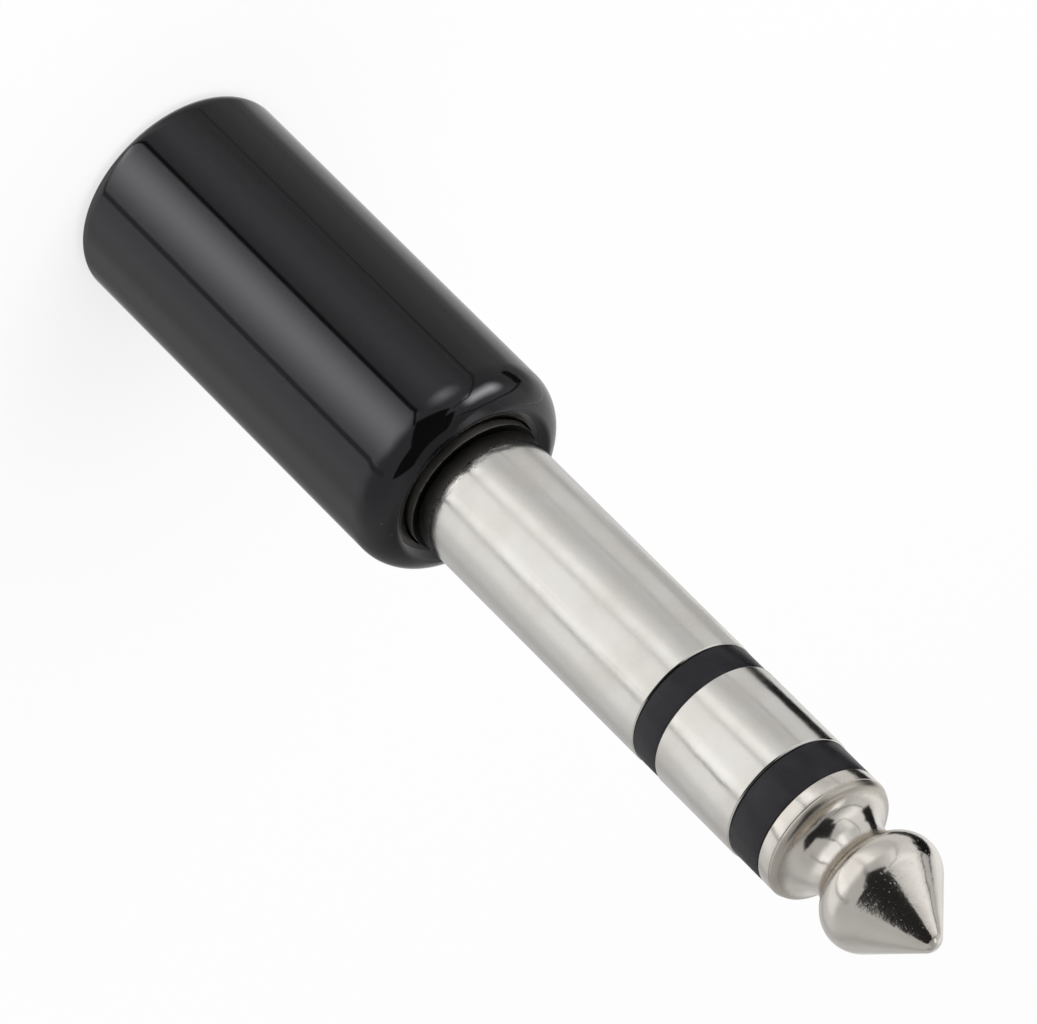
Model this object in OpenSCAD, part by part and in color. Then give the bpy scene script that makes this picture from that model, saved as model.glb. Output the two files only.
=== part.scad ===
// Stereo audio jack adapter: a 6.35 mm plug on one end and a 3.5 mm socket in the other.
// The adapter stands on its socket face, centred on the Z axis, with the plug's nose at the top.
// Every radius below is measured from that axis, and every height from the socket face.

/* [Barrel] */
// Outside diameter of the moulded barrel
barrel_d = 10.4; // [9.4:0.1:14]
// Length of the solid front, behind which the plug's flange seats
front_wall = 2.2; // [2:0.1:3.5]
// Distance from the front hole to the crest of the lip round it
lip_out = 0.59; // [0.4:0.01:0.75]
// Radius of that lip
lip_round = 0.3; // [0.1:0.05:0.35]
// Angle that the large front round turns through before the lip begins
front_sweep = 65; // [50:1:75]
// Depth of the dished mouth round the front hole
mouth_depth = 0.3; // [0.2:0.05:0.5]
// Radius of the round at the socket end
rear_round = 0.9; // [0.3:0.1:1.1]
// Smallest flat rim left beside that round
rim_w = 0.3; // [0.2:0.05:0.4]

/* [Plug] */
// Diameter of the sleeve and ring contacts
plug_d = 6.35; // [5.8:0.05:7]
// Height of the collar above the sleeve
collar_step = 0.155; // [0.05:0.005:0.3]
// How far the collar stands out beyond the barrel's front
collar_out = 0.15; // [0.05:0.05:0.5]
// Width of the relief in front of the collar
relief_w = 0.32; // [0.1:0.02:0.5]
// Depth of that relief below the sleeve
relief_depth = 0.1; // [0.05:0.01:0.2]
// Length from the collar to the rear band
sleeve_len = 14.95; // [12:0.05:18]
// Visible length of the rear insulating band
rear_band = 1.5; // [1:0.05:2]
// How far the rear band lies below the contacts
rear_band_step = 0.035; // [0.01:0.005:0.1]
// Visible length of the ring contact
ring_len = 4.95; // [4:0.05:6]
// Visible length of the front insulating band
front_band = 1.9; // [1:0.05:2.5]
// How far the front band lies below the contacts
front_band_step = 0.06; // [0.01:0.005:0.1]
// Small bevel on the metal edges
edge_break = 0.06; // [0.03:0.01:0.12]

/* [Tip] */
// How far the short cylinder at the back of the tip lies below the contacts
tip_collar_step = 0.055; // [0.01:0.005:0.2]
// Length of that cylinder
tip_collar_len = 0.72; // [0.4:0.02:1.2]
// Height of the fine ridge that ends the cylinder
tip_ridge = 0.04; // [0.02:0.01:0.1]
// Radius of the round from the cylinder towards the neck
shoulder_round = 0.4; // [0.2:0.05:0.8]
// Smallest diameter of the neck
neck_d = 3.88; // [3.5:0.02:4.4]
// Radius of the hollow round the neck
neck_round = 1.3; // [1:0.05:1.6]
// Angle that the hollow turns through after its narrowest place
neck_sweep = 34; // [25:1:45]
// Largest diameter of the bulb
bulb_d = 5.77; // [5.2:0.01:6.2]
// Radius of the bulb's outline
bulb_round = 1.39; // [1.2:0.01:1.6]
// Angle between the cone's side and the axis
cone_angle = 39; // [34:1:45]
// Radius of the rounded nose
nose_round = 0.7; // [0.4:0.05:1]

/* [Contact stack] */
// Diameter of the tip's rod
rod_d = 1.6; // [1.4:0.05:1.9]
// Wall of each tube round the rod
tube_wall = 0.4; // [0.3:0.02:0.5]
// Radial play between parts that are pushed together
fit_gap = 0.02; // [0.01:0.01:0.03]
// Diameter of the fibre washers
washer_d = 5.2; // [4.8:0.1:6]
// Thickness of the fibre washers
washer_t = 0.4; // [0.3:0.05:0.6]
// Thickness of the terminals
terminal_t = 0.3; // [0.2:0.05:0.4]
// Thickness of the sleeve's flange
flange_t = 0.8; // [0.5:0.05:1.2]
// Height of the lips that are swaged over the terminals
lip_t = 0.2; // [0.1:0.02:0.3]
// How far those lips reach out
lip_reach = 0.25; // [0.15:0.01:0.35]
// Diameter of the tip terminal's washer
tip_terminal_d = 4.4; // [3.6:0.1:4.8]
// Diameter of the rivet head on the rod's end
rivet_d = 2.6; // [2.2:0.1:3]
// Height of that rivet head
rivet_t = 0.4; // [0.3:0.05:0.6]
// Width of the solder tabs
tab_w = 1.2; // [0.8:0.1:1.6]
// Distance between the socket's cap and the rivet head
stack_gap = 0.4; // [0.2:0.05:1]

/* [Socket] */
// Diameter of the socket's bore for a 3.5 mm plug
bore_d = 3.6; // [3.5:0.01:3.8]
// Bevel at the mouth of the bore
mouth_bevel = 0.25; // [0.1:0.05:0.35]
// Outside diameter of the bush behind its flange
bush_d = 5.8; // [5:0.1:6.4]
// Length of the bush
bush_len = 4; // [3:0.1:5]
// Thickness of the bush's flange
bush_flange_t = 0.8; // [0.5:0.05:1.2]
// Depth of the bore from the socket face
socket_depth = 14.5; // [13:0.1:17]
// Thickness of the housing's closed end
housing_floor = 0.8; // [0.6:0.05:1]
// Play round the small plug inside the housing
housing_play = 0.03; // [0.02:0.01:0.1]
// Wall of the cap on the housing's front end
cap_wall = 0.38; // [0.3:0.02:0.46]
// How far the cap reaches over the housing
cap_len = 3; // [2:0.1:3.5]
// Thickness of the cap's end
cap_end = 0.4; // [0.3:0.05:0.6]
// Thickness of the ground tag
tag_t = 0.25; // [0.2:0.01:0.3]
// Play between the ground tag and the barrel
tag_gap = 0.13; // [0.1:0.01:0.2]
// Width of the ground tag
tag_w = 1.2; // [0.8:0.05:1.4]

/* [Springs and links] */
// Thickness of the contact springs
spring_t = 0.25; // [0.2:0.01:0.3]
// Width of the contact springs
spring_w = 1.2; // [0.9:0.05:1.4]
// Play round each spring in its slot
slot_gap = 0.2; // [0.1:0.02:0.3]
// Distance from the bore's blind end to the place where the tip spring touches
tip_touch_in = 3.1; // [2.8:0.1:3.5]
// Distance from the bore's blind end to the place where the ring spring touches
ring_touch_in = 6.7; // [6:0.1:7.4]
// How far each spring reaches into the bore
spring_bite = 0.17; // [0.1:0.01:0.25]
// Length of each spring on the anchored side of its touch
spring_rise = 1.8; // [1.5:0.1:2.1]
// Length of each spring on the free side of its touch
spring_fall = 1.5; // [1.2:0.1:1.8]
// Diameter of the link wires
wire_d = 0.5; // [0.4:0.02:0.56]
// Radius of the solder at each end of a link wire
solder_round = 0.37; // [0.3:0.01:0.4]
// Angle that each link wire turns through
link_turn = 50; // [40:1:65]

/* [Hidden] */
$fn = 96;
arc_steps = 16;

// Radii of the socket and of what lies round it, worked out from the fibre washers to the barrel's cavity.
washer_play = 0.26;
slot_play = 0.09;
bore_r = bore_d / 2;
bush_r = bush_d / 2;
washer_r = washer_d / 2;
spring_in = washer_r + washer_play;
spring_out = spring_in + spring_t;
slot_floor = spring_in - fit_gap / 2;
neck_in = spring_out + slot_play;
housing_r = neck_in + fit_gap + cap_wall;
tag_in = housing_r + fit_gap;
tag_out = tag_in + tag_t;
cavity_r = tag_out + tag_gap;
flange_r = cavity_r - fit_gap;

// Radii of the nested contact stack, worked out from the rod, and of the spigot inside the ground link.
solder_play = 0.05;
rod_r = rod_d / 2;
front_tube_in = rod_r + fit_gap;
front_tube_out = front_tube_in + tube_wall;
ring_tube_in = front_tube_out + fit_gap;
ring_tube_out = ring_tube_in + tube_wall;
rear_tube_in = ring_tube_out + fit_gap;
rear_tube_out = rear_tube_in + tube_wall;
sleeve_in = rear_tube_out + fit_gap;
spigot_r = tag_in - wire_d / 2 - solder_round - solder_play - lip_reach;

// Radii of the plug and of the barrel round it.
plug_r = plug_d / 2;
collar_r = plug_r + collar_step;
rear_band_r = plug_r - rear_band_step;
front_band_r = plug_r - front_band_step;
tip_collar_r = plug_r - tip_collar_step;
hole_r = collar_r + 4 * fit_gap;
barrel_r = barrel_d / 2;

// Heights of the socket.
z_housing = bush_flange_t + terminal_t;
z_tip_touch = socket_depth - tip_touch_in;
z_ring_touch = socket_depth - ring_touch_in;
z_housing_end = socket_depth + housing_floor;
z_cap = z_housing_end - cap_len;
z_cap_end = z_housing_end + cap_end;

// Heights of the contact stack, from the socket's cap to the seat of the flange.
z_rivet = z_cap_end + stack_gap;
z_tip_terminal = z_rivet + rivet_t;
z_ring_washer = z_tip_terminal + terminal_t;
z_ring_end = z_ring_washer + washer_t;
z_ring_terminal = z_ring_end + lip_t;
z_sleeve_washer = z_ring_terminal + terminal_t;
z_sleeve_end = z_sleeve_washer + washer_t;
z_sleeve_terminal = z_sleeve_end + lip_t;
z_flange = z_sleeve_terminal + terminal_t;
z_seat = z_flange + flange_t;

// Heights of the plug, from the barrel's front to the tip.
z_front = z_seat + front_wall;
z_mouth = z_front - mouth_depth;
z_collar = z_front + collar_out;
z_rear_band = z_collar + sleeve_len;
z_ring = z_rear_band + rear_band;
z_front_band = z_ring + ring_len;
z_tip = z_front_band + front_band;

// Directions in which the springs, the tag and the solder tabs lie round the axis.
tip_side = 0;
ring_side = 180;
ground_side = 270;
tab_reach = cavity_r - tag_gap - 2 * fit_gap;
tail_gap = 0.05;

// Colours
moulded_black = [0.05, 0.05, 0.06];
insulator_black = [0.13, 0.13, 0.15];
nickel = [0.80, 0.78, 0.74];
tinned = [0.72, 0.73, 0.74];
fibre = [0.45, 0.20, 0.12];
bronze = [0.80, 0.60, 0.35];
moulded_grey = [0.30, 0.31, 0.33];

// Points along an arc in the plane of radius and height.
function arc(centre, r, from, to) =
    [for (i = [0:arc_steps]) let (a = from + (to - from) * i / arc_steps) centre + r * [cos(a), sin(a)]];

// Direction of a line from one point to another, in degrees.
function heading(from, to) = atan2(to[1] - from[1], to[0] - from[0]);

// Outline of a bent strip of thickness t whose middle runs along a path.
function unit(v) = v / norm(v);
function left(v) = [-v[1], v[0]];
function before(path, i) = unit(i == 0 ? path[1] - path[0] : path[i] - path[i - 1]);
function after(path, i) = unit(i == len(path) - 1 ? path[i] - path[i - 1] : path[i + 1] - path[i]);
function mitre(path, i, h) =
    let (n = unit(left(before(path, i)) + left(after(path, i))))
    path[i] + n * h / (n * left(before(path, i)));
function strip(path, t) = concat(
    [for (i = [0:len(path) - 1]) mitre(path, i, t / 2)],
    [for (i = [len(path) - 1:-1:0]) mitre(path, i, -t / 2)]);

// A part turned round the axis from an outline of radius and height.
module turned(outline) {
    rotate_extrude() polygon(outline);
}

// A strip bent in the plane of radius and height, of width w, on one side of the axis.
module bent_strip(side, path, t, w) {
    rotate([90, 0, side]) translate([0, 0, -w / 2]) linear_extrude(w) polygon(strip(path, t));
}

// A block on one side of the axis, from radius r0 to r1 and height z0 to z1, of width w.
module block(side, r0, r1, z0, z1, w) {
    rotate([0, 0, side]) translate([r0, -w / 2, z0]) cube([r1 - r0, w, z1 - z0]);
}

// A flat washer between two heights.
module washer(inner, outer, z0, z1) {
    turned([[inner, z0], [outer, z0], [outer, z1], [inner, z1]]);
}

// A washer with a solder tab that reaches out to one side.
module tab_washer(inner, outer, z, side) {
    translate([0, 0, z]) linear_extrude(terminal_t) difference() {
        union() {
            circle(r = outer);
            rotate(side) translate([0, -tab_w / 2]) square([tab_reach - tab_w / 2, tab_w]);
            rotate(side) translate([tab_reach - tab_w / 2, 0]) circle(r = tab_w / 2);
        }
        circle(r = inner);
    }
}

// A link wire that lies under a terminal, with solder at both ends.
module link(r, z, from, to) {
    rotate([0, 0, from]) rotate_extrude(angle = to - from) translate([r, z]) circle(d = wire_d, $fn = 32);
    for (a = [from, to])
        rotate([0, 0, a]) translate([r, 0, z]) sphere(r = solder_round, $fn = 32);
}

// Moulded shell: open at the socket end, with a large round and a dished hole at the front.
module barrel() {
    rear_r = min(rear_round, barrel_r - cavity_r - rim_w);
    rear_centre = [barrel_r - rear_r, rear_r];
    lip_centre = [hole_r + lip_out, z_front - lip_round];
    reach = (barrel_r - lip_round - lip_centre[0]) / (1 - cos(front_sweep));
    front_centre = lip_centre - reach * [cos(front_sweep), sin(front_sweep)];
    mouth = [hole_r, z_mouth];
    flare = heading(mouth, lip_centre) + asin(lip_round / norm(lip_centre - mouth));
    color(moulded_black) turned(concat(
        [[cavity_r, 0]],
        arc(rear_centre, rear_r, -90, 0),
        arc(front_centre, reach + lip_round, 0, front_sweep),
        arc(lip_centre, lip_round, front_sweep, flare + 90),
        [mouth, [hole_r, z_seat], [cavity_r, z_seat]]));
}

// Sleeve contact: spigot and swaged lip, flange, collar, relief and long cylinder.
module plug_sleeve() {
    color(nickel) turned([
        [sleeve_in, z_sleeve_end],
        [spigot_r + lip_reach, z_sleeve_end],
        [spigot_r + lip_reach, z_sleeve_terminal],
        [spigot_r, z_sleeve_terminal],
        [spigot_r, z_flange],
        [flange_r, z_flange],
        [flange_r, z_seat],
        [collar_r, z_seat],
        [collar_r, z_collar - edge_break],
        [collar_r - edge_break, z_collar],
        [plug_r - relief_depth, z_collar],
        [plug_r, z_collar + relief_w],
        [plug_r, z_rear_band - edge_break],
        [plug_r - edge_break, z_rear_band],
        [sleeve_in, z_rear_band]]);
}

// Insulator between sleeve and ring: a band that shows, and a tube through the sleeve.
module rear_insulator() {
    color(insulator_black) turned([
        [rear_tube_in, z_sleeve_end],
        [rear_tube_out, z_sleeve_end],
        [rear_tube_out, z_rear_band],
        [rear_band_r, z_rear_band],
        [rear_band_r, z_ring],
        [rear_tube_in, z_ring]]);
}

// Ring contact: a cylinder that shows, and a tube swaged over the ring terminal.
module ring_contact() {
    color(nickel) turned([
        [ring_tube_in, z_ring_end],
        [ring_tube_out + lip_reach, z_ring_end],
        [ring_tube_out + lip_reach, z_ring_terminal],
        [ring_tube_out, z_ring_terminal],
        [ring_tube_out, z_ring],
        [plug_r - edge_break, z_ring],
        [plug_r, z_ring + edge_break],
        [plug_r, z_front_band - edge_break],
        [plug_r - edge_break, z_front_band],
        [ring_tube_in, z_front_band]]);
}

// Insulator between ring and tip: a band that shows, and a tube through the ring contact.
module front_insulator() {
    color(insulator_black) turned([
        [front_tube_in, z_ring_end],
        [front_tube_out, z_ring_end],
        [front_tube_out, z_front_band],
        [front_band_r, z_front_band],
        [front_band_r, z_tip],
        [front_tube_in, z_tip]]);
}

// Tip contact: rivet head, rod, short cylinder with a fine ridge, hollow neck, bulb, cone and nose.
// The outline's arcs and its cone meet as tangents, but for the crease where the hollow meets the bulb.
module tip_contact() {
    rivet_r = rivet_d / 2;
    shoulder = [tip_collar_r - tip_ridge - shoulder_round, z_tip + tip_collar_len];
    neck_r = neck_d / 2 + neck_round;
    turn = acos((neck_r - shoulder[0]) / (shoulder_round + neck_round));
    neck = [neck_r, shoulder[1] + (shoulder_round + neck_round) * sin(turn)];
    crease = neck + neck_round * [-cos(neck_sweep), sin(neck_sweep)];
    bulb_in = bulb_d / 2 - bulb_round;
    rise = acos((crease[0] - bulb_in) / bulb_round);
    bulb = [bulb_in, crease[1] + bulb_round * sin(rise)];
    nose = [0, bulb[1] + (bulb_round - nose_round + bulb_in * cos(cone_angle)) / sin(cone_angle)];
    color(nickel) turned(concat(
        [[0, z_rivet],
        [rivet_r - rivet_t / 2, z_rivet],
        [rivet_r, z_rivet + rivet_t / 2],
        [rivet_r, z_tip_terminal],
        [rod_r, z_tip_terminal],
        [rod_r, z_tip],
        [tip_collar_r - edge_break, z_tip],
        [tip_collar_r, z_tip + edge_break],
        [tip_collar_r, shoulder[1]]],
        arc(shoulder, shoulder_round, 0, turn),
        arc(neck, neck_round, 180 + turn, 180 - neck_sweep),
        arc(bulb, bulb_round, -rise, cone_angle),
        arc(nose, nose_round, cone_angle, 90)));
}

// Tinned ring held between the flange and the sleeve's swaged lip.
module sleeve_terminal() {
    color(tinned) washer(spigot_r + fit_gap, tag_in - fit_gap, z_sleeve_terminal, z_flange);
}

// Fibre washer between the sleeve and the ring terminal.
module sleeve_washer() {
    color(fibre) washer(rear_tube_in, washer_r, z_sleeve_washer, z_sleeve_end);
}

// Tinned washer with a tab, held by the ring tube's swaged lip.
module ring_terminal() {
    color(tinned) tab_washer(rear_tube_in, washer_r, z_ring_terminal, ring_side + link_turn);
}

// Fibre washer between the ring terminal and the tip terminal, hollowed for the swaged lip.
module ring_washer() {
    lip = ring_tube_out + lip_reach + fit_gap;
    color(fibre) turned([
        [front_tube_in, z_ring_washer],
        [washer_r, z_ring_washer],
        [washer_r, z_ring_terminal],
        [lip, z_ring_terminal],
        [lip, z_ring_end],
        [front_tube_in, z_ring_end]]);
}

// Tinned washer with a tab, held by the rod's rivet head.
module tip_terminal() {
    color(tinned) tab_washer(front_tube_in, tip_terminal_d / 2, z_tip_terminal, tip_side + link_turn);
}

// Bush of the small socket: its flange closes the barrel, and its bore touches the small plug's sleeve.
module socket_bush() {
    color(nickel) turned([
        [bore_r + mouth_bevel, 0],
        [flange_r - edge_break, 0],
        [flange_r, edge_break],
        [flange_r, bush_flange_t],
        [bush_r, bush_flange_t],
        [bush_r, bush_len],
        [bore_r, bush_len],
        [bore_r, mouth_bevel]]);
}

// Tinned washer under the bush's flange, with a long tag that runs forward beside the housing.
module ground_tag() {
    color(tinned) {
        washer(bush_r + fit_gap, housing_r, bush_flange_t, z_housing);
        block(ground_side, housing_r - tag_t, tag_out, bush_flange_t, z_housing, tag_w);
        block(ground_side, tag_in, tag_out, bush_flange_t, z_sleeve_terminal - tail_gap, tag_w);
    }
}

// Window to the bore for one spring, and the slot that holds the spring's flat length.
module spring_slot(side, touch) {
    slot_w = spring_w + slot_gap;
    z_shelf = touch + spring_rise + spring_t;
    block(side, 0, barrel_r, touch - spring_fall - slot_gap, z_shelf, slot_w);
    block(side, slot_floor, barrel_r, z_shelf, z_housing_end + cap_end, slot_w);
}

// Moulded body of the small socket, pushed on the bush, with a blind bore and a slot for each spring.
module socket_housing() {
    inner = bore_r + housing_play;
    color(moulded_grey) difference() {
        turned([
            [bush_r + fit_gap, z_housing],
            [housing_r, z_housing],
            [housing_r, z_cap],
            [neck_in, z_cap],
            [neck_in, z_housing_end],
            [0, z_housing_end],
            [0, socket_depth],
            [inner, socket_depth],
            [inner, bush_len],
            [bush_r + fit_gap, bush_len]]);
        spring_slot(tip_side, z_tip_touch);
        spring_slot(ring_side, z_ring_touch);
    }
}

// Moulded cap that holds the springs down in their slots and lets their tails through.
module housing_cap() {
    color(moulded_grey) difference() {
        turned([
            [neck_in + fit_gap, z_cap],
            [housing_r, z_cap],
            [housing_r, z_cap_end],
            [0, z_cap_end],
            [0, z_housing_end],
            [neck_in + fit_gap, z_housing_end]]);
        for (side = [tip_side, ring_side])
            block(side, slot_floor, spring_out + slot_play / 2, z_housing_end - cap_end,
                z_cap_end + cap_end, spring_w + slot_gap);
    }
}

// A spring that lies in its slot, bends in to touch the plug and turns out again at its free end.
module contact_spring(side, touch, tail_end) {
    flat = (spring_in + spring_out) / 2;
    tip = bore_r - spring_bite + spring_t / 2;
    color(bronze) bent_strip(side, [
        [flat, tail_end],
        [flat, touch + spring_rise],
        [tip + spring_t / 2, touch + spring_t],
        [tip, touch],
        [tip + spring_t / 2, touch - spring_t],
        [flat - spring_t, touch - spring_fall]], spring_t, spring_w);
}

// Spring for the small plug's tip.
module tip_spring() {
    contact_spring(tip_side, z_tip_touch, z_tip_terminal - tail_gap);
}

// Spring for the small plug's ring.
module ring_spring() {
    contact_spring(ring_side, z_ring_touch, z_ring_terminal - tail_gap);
}

// Link wire under a terminal, with its solder cut flat where it meets the terminal.
module cut_link(r, z_terminal, side) {
    difference() {
        link(r, z_terminal - wire_d / 2, side, side + link_turn);
        translate([0, 0, z_terminal]) cylinder(r = cavity_r, h = solder_round);
    }
}

// Link wire from a spring's tail to the terminal above it.
module spring_link(side, z_terminal) {
    color(tinned) difference() {
        cut_link(spring_out + wire_d / 2, z_terminal, side);
        block(side, 0, spring_out, z_terminal - wire_d - solder_round, z_terminal, spring_w);
    }
}

// Link from the tip spring to the tip terminal.
module tip_link() {
    spring_link(tip_side, z_tip_terminal);
}

// Link from the ring spring to the ring terminal.
module ring_link() {
    spring_link(ring_side, z_ring_terminal);
}

// Link from the ground tag to the sleeve terminal.
module ground_link() {
    color(tinned) difference() {
        cut_link(tag_in - wire_d / 2, z_sleeve_terminal, ground_side);
        block(ground_side, tag_in, cavity_r, z_sleeve_terminal - wire_d - solder_round,
            z_sleeve_terminal, tag_w);
    }
}

barrel();
plug_sleeve();
rear_insulator();
ring_contact();
front_insulator();
tip_contact();
sleeve_terminal();
sleeve_washer();
ring_terminal();
ring_washer();
tip_terminal();
socket_bush();
ground_tag();
socket_housing();
housing_cap();
tip_spring();
ring_spring();
tip_link();
ring_link();
ground_link();
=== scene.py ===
import bmesh
import bpy
from math import asin, atan2, cos, degrees, hypot, pi, radians, sin
from mathutils import Matrix, Vector


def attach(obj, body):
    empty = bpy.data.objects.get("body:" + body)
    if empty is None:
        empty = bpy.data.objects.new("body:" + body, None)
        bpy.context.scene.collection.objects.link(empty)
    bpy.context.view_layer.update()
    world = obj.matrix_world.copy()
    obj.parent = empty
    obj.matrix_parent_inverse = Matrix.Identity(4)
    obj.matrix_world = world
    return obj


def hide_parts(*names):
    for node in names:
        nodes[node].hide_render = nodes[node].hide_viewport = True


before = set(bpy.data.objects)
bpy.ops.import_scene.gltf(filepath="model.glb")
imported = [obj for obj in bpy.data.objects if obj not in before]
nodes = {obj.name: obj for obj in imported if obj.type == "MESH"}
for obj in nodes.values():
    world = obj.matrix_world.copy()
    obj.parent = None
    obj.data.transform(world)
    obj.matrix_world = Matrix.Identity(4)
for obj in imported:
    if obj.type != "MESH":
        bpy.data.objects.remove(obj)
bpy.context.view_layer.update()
mm = 0.001

# Camera. A long lens looks down on the standing adapter from the front and above.
# It is rolled, so that the plug points to the lower right of the picture as in the photograph.
camera_lens = 416.6
camera_tilt = radians(31.6)
camera_roll = radians(134.84)
camera_distance = 504.8 * mm
camera_target = Vector((-0.557, 0, 24.06)) * mm

camera = bpy.data.objects.new("camera", bpy.data.cameras.new("camera"))
camera.data.sensor_width = 36
camera.data.lens = camera_lens
camera.data.clip_start = 0.01
camera.data.clip_end = 10
towards_camera = Vector((0, -cos(camera_tilt), sin(camera_tilt)))
level = Vector((1, 0, 0))
upright = towards_camera.cross(level)
camera_right = cos(camera_roll) * level + sin(camera_roll) * upright
camera_up = towards_camera.cross(camera_right)
turn = Matrix((camera_right, camera_up, towards_camera)).transposed().to_4x4()
camera.matrix_world = Matrix.Translation(camera_target + camera_distance * towards_camera) @ turn
bpy.context.scene.collection.objects.link(camera)
bpy.context.scene.camera = camera
bpy.context.scene.view_settings.view_transform = "Standard"

# Studio. A pale floor carries the adapter under one wide soft lamp, and a white tent with soft panels
# and thin seams stands all round it. Reflections look through the floor into the tent's lower half.
even_light = 0.5
backdrop_white = 1.0
floor_size = 3
floor_colour = (0.26, 0.26, 0.26, 1)
floor_glow = 0.748
floor_bounce = (0.8, 0.8, 0.8, 1)
card_colour = (0.01, 0.01, 0.01, 1)
card_width = 14
card_height = 49
card_middle = 31.5
card_around = -120
card_lean = -10
black_card_away = 31.6
lamp_place = (-0.15, -0.2, 0.6)
lamp_aim = (0, 0, 0.025)
lamp_size = 0.5
lamp_energy = 2.4


def wire(tree, source, target):
    """Joins an output to an input, both given as (node, socket name or number)."""
    tree.links.new(source[0].outputs[source[1]], target[0].inputs[target[1]])


def is_output(value):
    """Whether a value is an output, given as (node, socket name or number)."""
    return isinstance(value, tuple) and isinstance(value[0], bpy.types.Node)


def feed(tree, node, socket, value):
    """Sets an input to a value, or joins it to an output."""
    if is_output(value):
        wire(tree, value, (node, socket))
    else:
        node.inputs[socket].default_value = value


def add(tree, kind, inputs=(), **settings):
    """A shader node of the given kind. Inputs are (socket, value) pairs, where a value may be an output."""
    node = tree.nodes.new("ShaderNode" + kind)
    for name, value in settings.items():
        setattr(node, name, value)
    for socket, value in inputs:
        feed(tree, node, socket, value)
    return node


def math(tree, operation, *terms, clamp=False):
    """The output of a Math node, whose terms are numbers or outputs."""
    return (add(tree, "Math", list(enumerate(terms)), operation=operation, use_clamp=clamp), 0)


def times(tree, *terms):
    """The product of two numbers or outputs."""
    return math(tree, "MULTIPLY", *terms)


def vector_math(tree, operation, *terms, output=0):
    """The output of a Vector Math node."""
    return (add(tree, "VectorMath", list(enumerate(terms)), operation=operation), output)


def vector(tree, *parts):
    """A vector of numbers or outputs."""
    return (add(tree, "CombineXYZ", list(enumerate(parts))), 0)


def blend(tree, mask, under, over):
    """Mixes two numbers or outputs by a mask."""
    return (add(tree, "Mix", ((0, mask), (2, under), (3, over)), data_type="FLOAT"), 0)


def new_group(name, inputs, output):
    """A group that puts out one number. Its inputs are numbers too, apart from Place, a point of the object.
    Returns the group with its input and output nodes."""
    group = bpy.data.node_groups.new(name, "ShaderNodeTree")
    for label in inputs:
        kind = "NodeSocketVector" if label == "Place" else "NodeSocketFloat"
        group.interface.new_socket(label, in_out="INPUT", socket_type=kind)
    group.interface.new_socket(output, in_out="OUTPUT", socket_type="NodeSocketFloat")
    return group, group.nodes.new("NodeGroupInput"), group.nodes.new("NodeGroupOutput")


def place(tree, group, **values):
    """The output of a group placed in a tree. Underscores in a value's name stand for spaces."""
    node = tree.nodes.new("ShaderNodeGroup")
    node.node_tree = group
    for name, value in values.items():
        feed(tree, node, name.replace("_", " "), value)
    return (node, 0)


# One panel laid over what lies under it. Middle, half sizes, turn, corner and softness are in degrees.
tent_panel, given, result = new_group("tent_panel", (
    "Around", "Height", "Middle around", "Middle height", "Half width", "Half height", "Turn", "Corner",
    "Softness", "Under", "Panel",
), "Brightness")
away = math(tent_panel, "SUBTRACT", (given, "Around"), (given, "Middle around"))
away = math(tent_panel, "WRAP", away, 180.0, -180.0)
up = math(tent_panel, "SUBTRACT", (given, "Height"), (given, "Middle height"))
angle = math(tent_panel, "RADIANS", (given, "Turn"))
spot = (add(tent_panel, "VectorRotate", (("Vector", vector(tent_panel, away, up)), ("Angle", angle)),
            rotation_type="Z_AXIS", invert=True), 0)
inner_width = math(tent_panel, "SUBTRACT", (given, "Half width"), (given, "Corner"))
inner_height = math(tent_panel, "SUBTRACT", (given, "Half height"), (given, "Corner"))
inner = vector(tent_panel, inner_width, inner_height)
beyond = vector_math(tent_panel, "SUBTRACT", vector_math(tent_panel, "ABSOLUTE", spot), inner)
outside = vector_math(tent_panel, "MAXIMUM", beyond, (0, 0, 0))
outside = vector_math(tent_panel, "LENGTH", outside, output="Value")
sides = add(tent_panel, "SeparateXYZ", ((0, beyond),))
inside = math(tent_panel, "MINIMUM", math(tent_panel, "MAXIMUM", (sides, 0), (sides, 1)), 0.0)
distance = math(tent_panel, "SUBTRACT", math(tent_panel, "ADD", outside, inside), (given, "Corner"))
share = math(tent_panel, "DIVIDE", distance, (given, "Softness"))
share = math(tent_panel, "SUBTRACT", 0.5, share, clamp=True)
share = (add(tent_panel, "MapRange", (("Value", share),), interpolation_type="SMOOTHSTEP"), 0)
wire(tent_panel, blend(tent_panel, share, (given, "Under"), (given, "Panel")), (result, 0))


def directions(tree, point):
    """How far round from the front and how high a point or direction lies, both in degrees."""
    part = add(tree, "SeparateXYZ", ((0, vector_math(tree, "NORMALIZE", point)),))
    around = math(tree, "ARCTAN2", (part, 0), times(tree, (part, 1), -1.0))
    return math(tree, "DEGREES", around), math(tree, "DEGREES", math(tree, "ARCSINE", (part, 2)))


def lay_panels(tree, point, under, panels):
    """Lays panels over an even brightness, the first one lowest."""
    around, height = directions(tree, point)
    for middle_around, middle_height, width, tall, tilt, corner, softness, panel_level in panels:
        under = place(tree, tent_panel, Around=around, Height=height, Middle_around=middle_around,
                      Middle_height=middle_height, Half_width=width, Half_height=tall, Turn=tilt,
                      Corner=corner, Softness=softness, Under=under, Panel=panel_level)
    return under


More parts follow.
